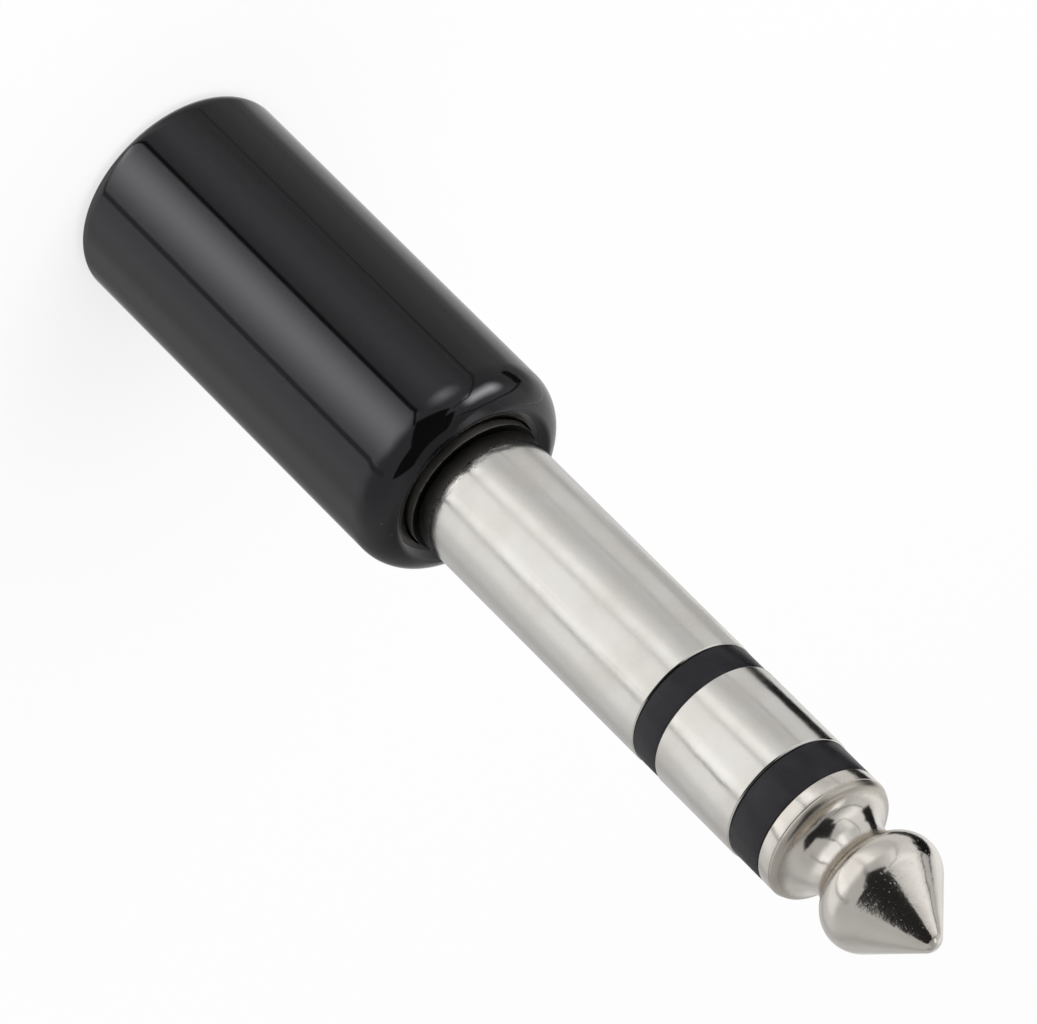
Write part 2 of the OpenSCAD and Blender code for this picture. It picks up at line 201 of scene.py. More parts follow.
# A panel is its middle around and in height, half width, half height, turn, corner, softness and brightness.
# The dark shape is the opening that the lens looks through, and the seams part the tent's panels.
dark_shape = (
    (8, 57, 53, 15, 0, 4, 4, 0.02),
    (-10.6, 36.2, 21, 20, -33.3, 2, 4, 0.02),
)
front_seam = (-10.8, -52, 2.2, 40, 0, 0, 3, 0.06)
seams = (
    front_seam,
    (-5.4, -2.5, 1.8, 12.5, -20, 0, 2.6, 0.05),
    (52.5, -36, 2.8, 56, 0, 0, 3, 0.36),
    (-76, -58, 1.2, 27, 0, 0, 2.2, 0.26),
    (-68.5, -2.5, 1.2, 30.7, -16, 0, 2.2, 0.2),
    (-51.5, 31.3, 1.2, 9.5, -69, 0, 2.2, 0.2),
    (-121, -58, 1.2, 27, 0, 0, 2.2, 0.4),
    (-111.5, -22, 1.2, 12.4, -43, 0, 2.2, 0.3),
    (-109.5, -3.5, 5.5, 11.5, 31.6, 3, 3, 0.02),
    (-112, 17, 1.4, 11.2, -15.6, 0, 2.2, 0.1),
    (-103.5, 37, 1.4, 10.5, -31.4, 0, 2.2, 0.1),
    (-91, 51, 1.4, 8.6, -54.5, 0, 2.2, 0.1),
    (-72, 56.8, 1.4, 12, -86.4, 0, 2.2, 0.15),
)
front_window = (21.5, -30, 32.5, 44, 0, 5, 3, 0.98)
tent_level = 0.64
tent_walls = (
    (0, 90, 180, 38, 0, 0, 34, 0.34),
    (65, -40, 24, 70, 0, 0, 26, 0.89),
    (100, 30, 40, 40, 0, 10, 30, 0.54),
    (148, -30, 24, 80, 0, 0, 36, 0.3),
    (184, -25, 15, 50, 0, 0, 22, 0.7),
    (-150, 10, 14, 40, 0, 10, 20, 0.9),
    (-94, -30, 34, 46, 0, 0, 20, 0.41),
    (-120, -40, 9, 34, 0, 0, 16, 0.33),
    (-122, 66, 32, 7, 0, 7, 12, 1.1),
    (-30, -45, 26, 44, 0, 0, 14, 0.45),
    (-38, -45, 14, 40, 0, 0, 26, 0.74),
    front_window,
    (40, -40, 8, 34, 0, 8, 14, 1.14),
    (26, 20, 60, 26, 0, 8, 26, 0.5),
) + dark_shape + seams

tent = bpy.data.worlds.new("tent")
tent.use_nodes = True
tent.cycles.sampling_method = "NONE"
bpy.context.scene.world = tent
tree = tent.node_tree
tree.nodes.clear()
sky = add(tree, "TexCoord")
brightness = lay_panels(tree, (sky, "Generated"), tent_level, tent_walls)
walls = add(tree, "Background", (("Color", (1, 1, 1, 1)), ("Strength", brightness)))
seen = add(tree, "LightPath")
plain = blend(tree, (seen, "Is Camera Ray"), even_light, backdrop_white)
even = add(tree, "Background", (("Color", (1, 1, 1, 1)), ("Strength", plain)))
all_round = add(tree, "MixShader", ((0, (seen, "Is Glossy Ray")), (1, (even, 0)), (2, (walls, 0))))
add(tree, "OutputWorld", ((0, (all_round, 0)),))


def set_up(name, shape, material, shadows=True):
    """Stands a thing of the studio in the scene. What casts no shadow shows in reflections only."""
    mesh = bpy.data.meshes.new(name)
    shape.to_mesh(mesh)
    shape.free()
    mesh.materials.append(material)
    thing = bpy.data.objects.new(name, mesh)
    bpy.context.scene.collection.objects.link(thing)
    if not shadows:
        thing.visible_camera = False
        thing.visible_diffuse = False
        thing.visible_transmission = False
        thing.visible_shadow = False
    return thing


def bare_material(name):
    """A material whose tree is still empty. Returns both."""
    material = bpy.data.materials.new(name)
    material.use_nodes = True
    material.node_tree.nodes.clear()
    return material, material.node_tree


paper, tree = bare_material("floor_paper")
seen = add(tree, "LightPath")
behind = add(tree, "NewGeometry")
matt = add(tree, "BsdfDiffuse", (("Color", floor_colour),))
glow = add(tree, "Emission", (("Strength", floor_glow),))
lit = add(tree, "AddShader", ((0, (matt, 0)), (1, (glow, 0))))
pale = add(tree, "BsdfDiffuse", (("Color", floor_bounce),))
shown = add(tree, "MixShader", ((0, (seen, "Is Camera Ray")), (1, (pale, 0)), (2, (lit, 0))))
clear = add(tree, "BsdfTransparent")
open_way = math(tree, "MAXIMUM", (seen, "Is Glossy Ray"), (behind, "Backfacing"))
through = add(tree, "MixShader", ((0, open_way), (1, (shown, 0)), (2, (clear, 0))))
add(tree, "OutputMaterial", ((0, (through, 0)),))
floor = bmesh.new()
bmesh.ops.create_grid(floor, x_segments=1, y_segments=1, size=floor_size)
set_up("floor", floor, paper)


def upright_card(away):
    """A leaning card that stands to the right of the plug and faces its axis, so many mm from it."""
    card = bmesh.new()
    bmesh.ops.create_grid(card, x_segments=1, y_segments=1, size=0.5)
    round_axis = Matrix.Rotation(radians(card_around), 4, "Z")
    stand = Matrix.Translation((0, -away * mm, card_middle * mm)) @ Matrix.Rotation(pi / 2, 4, "X")
    lean = Matrix.Rotation(radians(card_lean), 4, "Z")
    size = Matrix.Diagonal((card_width * mm, card_height * mm, 1, 1))
    bmesh.ops.transform(card, matrix=round_axis @ stand @ (lean @ size), verts=card.verts)
    return card


# A black card stands to the right of the plug. The ring contact and the tip mirror it as a dark streak.
card_black, tree = bare_material("black_card")
dark = add(tree, "BsdfDiffuse", (("Color", card_colour),))
add(tree, "OutputMaterial", ((0, (dark, 0)),))
set_up("black_card", upright_card(black_card_away), card_black, shadows=False)

lamp = bpy.data.objects.new("soft_lamp", bpy.data.lights.new("soft_lamp", "AREA"))
lamp.data.shape = "DISK"
lamp.data.size = lamp_size
lamp.data.energy = lamp_energy
lamp.location = lamp_place
lamp.rotation_euler = (Vector(lamp_place) - Vector(lamp_aim)).to_track_quat("Z", "Y").to_euler()
lamp.visible_glossy = False
bpy.context.scene.collection.objects.link(lamp)

# Barrel. One glossy black moulded shell round everything, shrunk on the flanges at both ends.
# Both its ends are rounded, and the front is dished round the hole that the plug comes out of.
barrel_r = 5.2
cavity_r = 4.0
barrel_front = 21.6
barrel_seat = 19.4
rear_round = 0.9
lip_round = 0.3
lip_out = 0.59
front_sweep = 65
mouth_depth = 0.3
hole_r = 3.41
moulding_edge = 0.03
plain_edge = 0.015
sharp_turn = 20
turn_steps = 256
axis_within = 1e-7
merge_within = 1e-8
moulding_black = (0.003, 0.003, 0.0034)
rubbed_grey = (0.03, 0.03, 0.034)
dust_grey = (0.32, 0.31, 0.29)
gloss_clear = 0.03
gloss_hazed = 0.055
rubbed_roughness = 0.16
dust_roughness = 0.6
ripple_depth = 0.0012
skin_depth = 0.00012


def outline(r, z):
    """Starts the outline of a turned or moulded piece, half a section in millimetres of radius and height."""
    section = bmesh.new()
    return [section, bmesh.ops.create_vert(section, co=(r * mm, 0, z * mm))["vert"][0]]


def straight(drawn, *points):
    """Carries the outline on in straight lines."""
    for r, z in points:
        drawn[1] = bmesh.ops.extrude_vert_indiv(drawn[0], verts=[drawn[1]])["verts"][0]
        drawn[1].co = (r * mm, 0, z * mm)


def rounded(drawn, centre, sweep, steps):
    """Carries the outline on round a centre. A positive sweep in degrees turns from outwards to upwards."""
    made = bmesh.ops.spin(drawn[0], geom=[drawn[1]], cent=(centre[0] * mm, 0, centre[1] * mm),
                          axis=(0, -1, 0), angle=radians(sweep), steps=steps)
    drawn[1] = [part for part in made["geom_last"] if isinstance(part, bmesh.types.BMVert)][0]


def turned(name, drawn, node, material, edge=plain_edge):
    """Turns the outline round the axis, breaks its sharp edges and puts it in place of its CAD node."""
    section = drawn[0]
    section.verts.ensure_lookup_table()
    first = section.verts[0]
    if first.co.x > axis_within:
        section.edges.new((drawn[1], first))
    bmesh.ops.spin(section, geom=section.verts[:] + section.edges[:], cent=(0, 0, 0), axis=(0, 0, 1),
                   angle=2 * pi, steps=turn_steps, use_merge=True)
    bmesh.ops.remove_doubles(section, verts=section.verts, dist=merge_within)
    bmesh.ops.recalc_face_normals(section, faces=section.faces)
    closed = [line for line in section.edges if len(line.link_faces) == 2]
    sharp = [line for line in closed if line.calc_face_angle() > radians(sharp_turn)]
    bmesh.ops.bevel(section, geom=sharp, offset=edge * mm, segments=2, affect="EDGES", profile=0.5,
                    material=-1)
    for face in section.faces:
        face.smooth = True
    mesh = bpy.data.meshes.new(name)
    section.to_mesh(mesh)
    section.free()
    piece = bpy.data.objects.new(name, mesh)
    bpy.context.scene.collection.objects.link(piece)
    mesh.materials.append(material)
    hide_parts(node)
    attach(piece, "root")
    return piece


def new_material(name, colour, metallic, roughness):
    """A Principled material. Returns it with its tree, its shader and its place on the object in metres."""
    material = bpy.data.materials.new(name)
    material.use_nodes = True
    tree = material.node_tree
    shader = tree.nodes["Principled BSDF"]
    shader.inputs["Base Color"].default_value = (*colour, 1)
    shader.inputs["Metallic"].default_value = metallic
    shader.inputs["Roughness"].default_value = roughness
    return material, tree, shader, (add(tree, "TexCoord"), "Object")


mm_in_metre = 1000.0

# Clouds: soft patches of the given size in mm, from 0 to 1, with the contrast between low and high.
clouds, given, result = new_group("clouds", ("Place", "Size", "Low", "High", "Detail"), "Value")
scale = math(clouds, "DIVIDE", mm_in_metre, (given, "Size"))
noise = add(clouds, "TexNoise", (
    ("Vector", (given, "Place")), ("Scale", scale), ("Detail", (given, "Detail")),
))
value = add(clouds, "MapRange", (("Value", (noise, 0)), (1, (given, "Low")), (2, (given, "High"))))
wire(clouds, (value, 0), (result, 0))

# Hairlines: fine scratches of the given length and width in mm, along the axis, or round it with Round 1.
hairlines, given, result = new_group("hairlines", (
    "Place", "Length", "Width", "Round", "Low", "High",
), "Mask")
part = add(hairlines, "SeparateXYZ", ((0, (given, "Place")),))
fine = math(hairlines, "DIVIDE", mm_in_metre, (given, "Width"))
coarse = math(hairlines, "DIVIDE", mm_in_metre, (given, "Length"))
along_axis = vector(hairlines, times(hairlines, (part, 0), fine), times(hairlines, (part, 1), fine),
                    times(hairlines, (part, 2), coarse))
round_axis = vector(hairlines, times(hairlines, (part, 0), coarse), times(hairlines, (part, 1), coarse),
                    times(hairlines, (part, 2), fine))
way = add(hairlines, "Mix", ((0, (given, "Round")), (4, along_axis), (5, round_axis)), data_type="VECTOR")
noise = add(hairlines, "TexNoise", (("Vector", (way, 1)), ("Scale", 1.0), ("Detail", 1.0)))
value = add(hairlines, "MapRange", (("Value", (noise, 0)), (1, (given, "Low")), (2, (given, "High"))))
wire(hairlines, (value, 0), (result, 0))

# Specks: round dots scattered over a surface. Spacing is in mm, and Share says how many places hold one.
specks, given, result = new_group("specks", ("Place", "Spacing", "Radius", "Share"), "Mask")
scale = math(specks, "DIVIDE", mm_in_metre, (given, "Spacing"))
cell = add(specks, "TexVoronoi", (("Vector", (given, "Place")), ("Scale", scale)))
near = add(specks, "MapRange", (("Value", (cell, "Distance")), (1, (given, "Radius")), (2, 0.0)),
           interpolation_type="SMOOTHSTEP")
pick = add(specks, "SeparateXYZ", ((0, (cell, "Color")),))
chosen = math(specks, "LESS_THAN", (pick, 0), (given, "Share"))
wire(specks, times(specks, (near, 0), chosen), (result, 0))

# Height band: 1 between two heights of the standing adapter in mm, 0 elsewhere, with soft or ragged edges.
height_band, given, result = new_group("height_band", ("Place", "From", "To", "Softness", "Ragged"), "Mask")
ragged_scale = 7000.0
part = add(height_band, "SeparateXYZ", ((0, (given, "Place")),))
fray = add(height_band, "TexNoise", (
    ("Vector", (given, "Place")), ("Scale", ragged_scale), ("Detail", 3.0),
))
fray = times(height_band, math(height_band, "SUBTRACT", (fray, 0), 0.5), (given, "Ragged"))
high = math(height_band, "ADD", times(height_band, (part, 2), mm_in_metre), fray)
rise = math(height_band, "SUBTRACT", high, (given, "From"))
rise = math(height_band, "DIVIDE", rise, (given, "Softness"))
fall = math(height_band, "SUBTRACT", (given, "To"), high)
fall = math(height_band, "DIVIDE", fall, (given, "Softness"))
lower = math(height_band, "ADD", rise, 0.5, clamp=True)
upper = math(height_band, "ADD", fall, 0.5, clamp=True)
wire(height_band, times(height_band, lower, upper), (result, 0))


def blend_colour(tree, mask, under, over):
    """Mixes two colours by a mask. A colour is three numbers or an output."""
    under, over = [colour if is_output(colour) else (*colour, 1) for colour in (under, over)]
    return (add(tree, "Mix", ((0, mask), (6, under), (7, over)), data_type="RGBA"), 2)


def bump(tree, height, depth, normal=None):
    """A bump whose height of 1 stands for the given depth in mm."""
    node = add(tree, "Bump", (("Height", height), ("Distance", depth * mm), ("Strength", 1.0)))
    if normal:
        wire(tree, normal, (node, "Normal"))
    return (node, 0)


black_gloss, tree, shader, spot = new_material("black_gloss_moulding", moulding_black, 0, 0.04)
shader.inputs["IOR"].default_value = 1.52
shader.inputs["Specular Tint"].default_value = (0.96, 0.94, 1, 1)
patches = place(tree, clouds, Place=spot, Size=2.6, Low=0.35, High=0.7, Detail=2.0)
rubbed = place(tree, hairlines, Place=spot, Length=7.0, Width=0.09, Round=0.0, Low=0.66, High=0.8)
dust = place(tree, specks, Place=spot, Spacing=0.55, Radius=0.13, Share=0.16)
round_mouth = place(tree, height_band, Place=spot, From=21.2, To=23.0, Softness=0.5)
dust = times(tree, dust, blend(tree, round_mouth, 0.03, 0.5))
dusty = blend_colour(tree, times(tree, rubbed, 0.12), moulding_black, rubbed_grey)
dusty = blend_colour(tree, dust, dusty, dust_grey)
wire(tree, dusty, (shader, "Base Color"))
gloss = blend(tree, patches, gloss_clear, gloss_hazed)
gloss = blend(tree, times(tree, rubbed, 0.5), gloss, rubbed_roughness)
wire(tree, blend(tree, dust, gloss, dust_roughness), (shader, "Roughness"))
ripple = place(tree, clouds, Place=spot, Size=3.2, Low=0.3, High=0.7, Detail=0.0)
skin = place(tree, clouds, Place=spot, Size=0.45, Low=0.3, High=0.7, Detail=2.0)
wire(tree, bump(tree, skin, skin_depth, bump(tree, ripple, ripple_depth)), (shader, "Normal"))

lip = (hole_r + lip_out, barrel_front - lip_round)
mouth = (hole_r, barrel_front - mouth_depth)
reach = (barrel_r - lip_round - lip[0]) / (1 - cos(radians(front_sweep)))
front = (lip[0] - reach * cos(radians(front_sweep)), lip[1] - reach * sin(radians(front_sweep)))
rise = (lip[0] - mouth[0], lip[1] - mouth[1])
flare = degrees(atan2(rise[1], rise[0]) + asin(lip_round / hypot(*rise)))
barrel = outline(cavity_r, 0)
straight(barrel, (barrel_r - rear_round, 0))
rounded(barrel, (barrel_r - rear_round, rear_round), 90, steps=24)
straight(barrel, (barrel_r, front[1]))
rounded(barrel, front, front_sweep, steps=32)
rounded(barrel, lip, flare + 90 - front_sweep, steps=16)
straight(barrel, mouth, (hole_r, barrel_seat), (cavity_r, barrel_seat))
barrel_shell = turned("barrel_shell", barrel, "barrel", black_gloss, edge=moulding_edge)


def for_some(name, shape, under, panels=(), seen_from=(0, 0, 0)):
    """A clear glowing thing that only some pieces mirror. Returns the collection that takes those pieces."""
    clear_glow, tree = bare_material(name)
    clear_glow.cycles.emission_sampling = "NONE"
    point = vector_math(tree, "SUBTRACT", (add(tree, "TexCoord"), "Object"), seen_from)
    glow = add(tree, "Emission", (("Strength", lay_panels(tree, point, under, panels)),))
    joined = add(tree, "AddShader", ((0, (glow, 0)), (1, (add(tree, "BsdfTransparent"), 0))))
    add(tree, "OutputMaterial", ((0, (joined, 0)),))
    thing = set_up(name, shape, clear_glow, shadows=False)
    thing.light_linking.receiver_collection = bpy.data.collections.new(name)
    return thing.light_linking.receiver_collection


def far_dome(radius):
    """A ball far round the studio."""
    ball = bmesh.new()
    bmesh.ops.create_uvsphere(ball, u_segments=48, v_segments=24, radius=radius)
    return ball


def at_level(panel, brightness):
    """A panel with another brightness."""
    return (*panel[:-1], brightness)


# A clear dome far round the studio carries the long lamp and the two round ones that the black gloss shows.
# A clear veil before the black card carries the tent on, because the moulding shows no card.
gloss_dome = 1.5
gloss_veil_away = 31.1
gloss_veil_seen_from = (-0.0042, -0.0028, 0.0205)
black_cut = tuple(at_level(panel, 0.0) for panel in dark_shape + seams)
gloss_lamps = for_some("gloss_lamps", far_dome(gloss_dome), 0.0, (
    (17.5, -42, 15, 44, 0, 8, 30, 1.85),
    (-75, 27, 17, 7, 31, 7, 20, 6.4),
    (-38, -5, 8, 10, 0, 8, 26, 2.3),
) + black_cut)
gloss_lamps.objects.link(barrel_shell)
gloss_veil = for_some("gloss_veil", upright_card(gloss_veil_away), tent_level, tent_walls,
                      gloss_veil_seen_from)
gloss_veil.objects.link(barrel_shell)

# Sleeve contact. It is turned from brass and nickel plated, and its flange seats behind the barrel's front.
# A collar stands in the barrel's mouth, and a relief parts it from the long cylinder. Its rear end is
# swaged over the terminal.
plug_r = 3.175
collar_r = 3.33
relief_depth = 0.1
sleeve_in = 2.08
swage_r = 2.95
terminal_hole_r = 2.7
flange_r = 3.98
sleeve_rear = 18.1
swage_front = 18.3
flange_rear = 18.6
# The painted shade on the collar inside the barrel's mouth runs from this height to the collar's end.
collar_shade_rear = 19.3
collar_end = 21.75
relief_end = 22.07
polished_end = 23.1
rear_band = 36.7
edge_break = 0.06

nickel_bright = (0.79, 0.77, 0.735)
nickel_warm = (0.72, 0.685, 0.635)
brass_tone = (0.35, 0.2, 0.12)
pit_tone = (0.4, 0.36, 0.31)
# Painted tones: the near-black shade at the relief step, the darker shade on the collar in the barrel's
# mouth, and the dark reflection of the black barrel on the sleeve just above the mouth.
groove_shade_tone = (0.007, 0.007, 0.005)
collar_shade_tone = (0.42, 0.4, 0.36)
barrel_reflection_tone = (0.1, 0.095, 0.085)
worn_roughness = 0.4
# Roughness of the bands painted darker as painted shade and painted reflection, and of the painted groove
# shade.
painted_band_roughness = 0.3
groove_shade_roughness = 0.7
burnished_roughness = 0.05
burnished_width = 0.075
just_past = 0.01
wave_depth = 0.004
grain_depth = 0.0009
ring_mark_depth = 0.0004
pit_depth = 0.003

# A second clear dome carries the soft lamps that only the plug's metal shows. None shines in the front
# window, and the seam beside it is fainter on metal than on the moulding.
metal_dome = 1.45
seam_on_metal = 0.5
metal_lamps = for_some("metal_lamps", far_dome(metal_dome), 0.0, (
    (-94, -35, 28, 44, 0, 0, 20, 0.28),
    (-78, 14, 26, 24, 0, 10, 22, 0.36),
    (150, -30, 18, 60, 0, 0, 26, 0.26),
    (-14, -45, 17, 36, 0, 6, 16, 0.54),
    at_level(front_window, 0.0),
) + black_cut + (at_level(front_seam, seam_on_metal),))


def nickel_plate(name, roughness, waviness, worn_lines=(), groove_shade=(), painted_dark_bands=(), polished=(), scratched=(),
                 bright=nickel_bright, warm=nickel_warm):
    """Nickel plate with plating clouds, handling lines, pits, and brass where the plate is thin. Worn lines,
    the bands of painted groove shade, the bands painted darker as painted shade and painted dark reflections,
    and the polished and scratched bands are bands of height with their softness."""
    material, tree, shader, spot = new_material(name, bright, 1, roughness)

    def band(low, high, soft, ragged=0.0):
        return place(tree, height_band, Place=spot, From=low, To=high, Softness=soft, Ragged=ragged)

    cloud = place(tree, clouds, Place=spot, Size=1.8, Low=0.34, High=0.68, Detail=3.0)
    lines = place(tree, hairlines, Place=spot, Length=6.0, Width=0.1, Round=0.0, Low=0.62, High=0.84)
    rings = place(tree, hairlines, Place=spot, Length=9.0, Width=0.22, Round=1.0, Low=0.35, High=0.75)
    pits = place(tree, specks, Place=spot, Spacing=0.3, Radius=0.16, Share=0.14)
    colour = blend_colour(tree, times(tree, cloud, 0.55), bright, warm)
    colour = blend_colour(tree, times(tree, lines, 0.3), colour, warm)
    colour = blend_colour(tree, times(tree, pits, 0.4), colour, pit_tone)
    polish = blend(tree, cloud, roughness - 0.03, roughness + 0.05)
    polish = math(tree, "ADD", polish, times(tree, rings, 0.03))
    polish = math(tree, "ADD", polish, times(tree, lines, 0.05))
    for low, high, soft in worn_lines:
        break_up = place(tree, clouds, Place=spot, Size=0.5, Low=0.3, High=0.55, Detail=3.0)
        edge = times(tree, band(low, high, soft), break_up)
        colour = blend_colour(tree, times(tree, edge, 0.85), colour, brass_tone)
        polish = blend(tree, edge, polish, worn_roughness)
    for low, high, soft, smooth in polished:
        polish = blend(tree, band(low, high, soft), polish, smooth)
    # Painted shade and painted dark reflections: bands painted in a darker tone and made rougher.
    for low, high, soft, ragged, tone, amount in painted_dark_bands:
        zone = band(low, high, soft, ragged)
        colour = blend_colour(tree, times(tree, zone, amount), colour, tone)
        polish = blend(tree, zone, polish, painted_band_roughness)
    # Painted shade in grooves: painted near black and rough.
    for low, high, soft in groove_shade:
        groove = band(low, high, soft)
        colour = blend_colour(tree, groove, colour, groove_shade_tone)
        polish = blend(tree, groove, polish, groove_shade_roughness)
    wire(tree, colour, (shader, "Base Color"))
    wire(tree, polish, (shader, "Roughness"))
    waves = place(tree, clouds, Place=spot, Size=0.9, Low=0.25, High=0.75, Detail=1.0)
    grain = place(tree, clouds, Place=spot, Size=0.16, Low=0.25, High=0.75, Detail=2.0)
    surface = bump(tree, waves, wave_depth * waviness)
    surface = bump(tree, grain, grain_depth * waviness, surface)
    surface = bump(tree, rings, ring_mark_depth * waviness, surface)
    surface = bump(tree, math(tree, "SUBTRACT", 1.0, pits), pit_depth, surface)
    for low, high, soft, depth in scratched:
        scratch = place(tree, hairlines, Place=spot, Length=1.6, Width=0.09, Round=0.0, Low=0.68, High=0.78)
        unscratched = times(tree, math(tree, "SUBTRACT", 1.0, scratch), band(low, high, soft))
        surface = bump(tree, unscratched, depth, surface)
    wire(tree, surface, (shader, "Normal"))
    return material


def burnished(end):
    """The polished band at a metal edge beside an insulator."""
    return (end - burnished_width, end + just_past, 0.01, burnished_roughness)


# On the sleeve, the step from the collar into the relief is painted near black as painted shade, the collar
# in the barrel's mouth is painted darker as painted shade, and the sleeve just above the mouth is painted
# near black as a painted reflection of the black barrel.
sleeve_nickel = nickel_plate(
    "nickel_sleeve_plate", roughness=0.21, waviness=1.0,
    groove_shade=((collar_end - edge_break, collar_end + 0.08, 0.03),),
    painted_dark_bands=((collar_shade_rear, collar_end, 0.05, 0.0, collar_shade_tone, 0.6),
            (collar_end, relief_end + 0.5, 0.03, 0.5, barrel_reflection_tone, 0.92)),
    polished=((relief_end, polished_end, 0.6, 0.09), burnished(rear_band)))
sleeve = outline(sleeve_in, sleeve_rear)
straight(sleeve, (swage_r, sleeve_rear), (swage_r, swage_front), (terminal_hole_r, swage_front),
         (terminal_hole_r, flange_rear), (flange_r, flange_rear), (flange_r, barrel_seat),
         (collar_r, barrel_seat), (collar_r, collar_end - edge_break), (collar_r - edge_break, collar_end),
         (plug_r - relief_depth, collar_end), (plug_r, relief_end), (plug_r, rear_band - edge_break),
         (plug_r - edge_break, rear_band), (sleeve_in, rear_band))
sleeve_contact = turned("sleeve_contact", sleeve, "plug_sleeve", sleeve_nickel)
metal_lamps.objects.link(sleeve_contact)

# The sleeve shows no black card either, so an even veil hangs before it.
sleeve_veil_away = 31.3
sleeve_veil_level = 0.5
sleeve_veil = for_some("sleeve_veil", upright_card(sleeve_veil_away), sleeve_veil_level)
sleeve_veil.objects.link(sleeve_contact)

# Insulators. Black mouldings whose bands part the contacts, each with a tube that runs back inside the plug.
# They are slid on from the front, and the bands sit a little below the metal. A thin near-black line of
# painted shade lies in the gap where each band begins.
ring = 38.2
front_band = 43.15
tip_start = 45.05
rear_band_r = plug_r - 0.035
front_band_r = plug_r - 0.06
rear_tube_in = 1.66
rear_tube_out = 2.06
front_tube_in = 0.82
front_tube_out = 1.22
ring_rear = 17.2
insulator_dark = (0.006, 0.0055, 0.009)
insulator_pale = (0.019, 0.018, 0.023)
insulator_rubbed = (0.05, 0.05, 0.055)
fleck_tone = (0.12, 0.11, 0.1)
# The line of painted shade where each band begins:
gap_shade_tone = (0.003, 0.003, 0.002)
gap_shade_width = 0.07
satin_black, tree, shader, spot = new_material("satin_black_moulding", (0.012, 0.012, 0.016), 0, 0.36)
shader.inputs["IOR"].default_value = 1.43
cloud = place(tree, clouds, Place=spot, Size=1.4, Low=0.32, High=0.7, Detail=3.0)
rubbed = place(tree, hairlines, Place=spot, Length=2.5, Width=0.09, Round=0.0, Low=0.62, High=0.8)
flecks = place(tree, specks, Place=spot, Spacing=0.28, Radius=0.14, Share=0.1)
colour = blend_colour(tree, cloud, insulator_dark, insulator_pale)
colour = blend_colour(tree, times(tree, rubbed, 0.15), colour, insulator_rubbed)
colour = blend_colour(tree, times(tree, flecks, 0.3), colour, fleck_tone)
# Painted shade: a thin near-black line, made metallic so it stays black, in the gap where each band begins.
rear_gap_shade, front_gap_shade = [
    place(tree, height_band, Place=spot, From=edge - just_past, To=edge + gap_shade_width, Softness=0.03)
    for edge in (rear_band, front_band)
]
gap_shade = math(tree, "MAXIMUM", rear_gap_shade, front_gap_shade)
wire(tree, blend_colour(tree, gap_shade, colour, gap_shade_tone), (shader, "Base Color"))
wire(tree, gap_shade, (shader, "Metallic"))
wire(tree, blend(tree, cloud, 0.3, 0.42), (shader, "Roughness"))
grain = place(tree, clouds, Place=spot, Size=0.22, Low=0.3, High=0.7, Detail=2.0)
wire(tree, bump(tree, grain, 0.002), (shader, "Normal"))
band = outline(rear_tube_in, sleeve_rear)
straight(band, (rear_tube_out, sleeve_rear), (rear_tube_out, rear_band), (rear_band_r, rear_band),
         (rear_band_r, ring), (rear_tube_in, ring))
turned("rear_collar", band, "rear_insulator", satin_black)
band = outline(front_tube_in, ring_rear)
straight(band, (front_tube_out, ring_rear), (front_tube_out, front_band), (front_band_r, front_band),
         (front_band_r, tip_start), (front_tube_in, tip_start))
turned("front_collar", band, "front_insulator", satin_black)

# Ring contact. The same turned and plated brass, with a tube swaged over its terminal at the back.
# Brass shows through where the plate is thin on its rear edge.
ring_in = 1.24
ring_tube_r = 1.64
ring_swage_r = 1.89
ring_swage_front = 17.4
ring_nickel = nickel_plate(
    "nickel_ring_plate", roughness=0.17, waviness=1.2,
    worn_lines=((ring - 0.02, ring + 0.045, 0.03),),
    polished=(burnished(front_band),))
ring_contact = outline(ring_in, ring_rear)
straight(ring_contact, (ring_swage_r, ring_rear), (ring_swage_r, ring_swage_front),
         (ring_tube_r, ring_swage_front), (ring_tube_r, ring), (plug_r - edge_break, ring),
         (plug_r, ring + edge_break), (plug_r, front_band - edge_break), (plug_r - edge_break, front_band),
         (ring_in, front_band))
ring_shell = turned("ring_contact_shell", ring_contact, "ring_contact", ring_nickel)
metal_lamps.objects.link(ring_shell)

# Tip contact. One turned piece: rivet head, rod, short cylinder, hollow neck, bulb, cone and rounded nose.
# Its neck and nose were polished after plating, and the point is scratched by use.
rod_r = 0.8
rivet_r = 1.3
rivet_bevel = 0.2
rivet_rear = 16.1
rivet_front = 16.5
tip_collar_r = 3.12
tip_collar_length = 0.72
tip_ridge = 0.04
shoulder_in = 2.68
shoulder_round = 0.4
shoulder_turn = 70.76
waist_r = 1.94
neck_round = 1.3
neck_turn = 34
bulb_round = 1.39
bulb_in = 1.495
bulb_turn = 61.3
cone_angle = 39
nose_round = 0.7
tip_bright = (0.8, 0.765, 0.715)
tip_warm = (0.7, 0.645, 0.58)
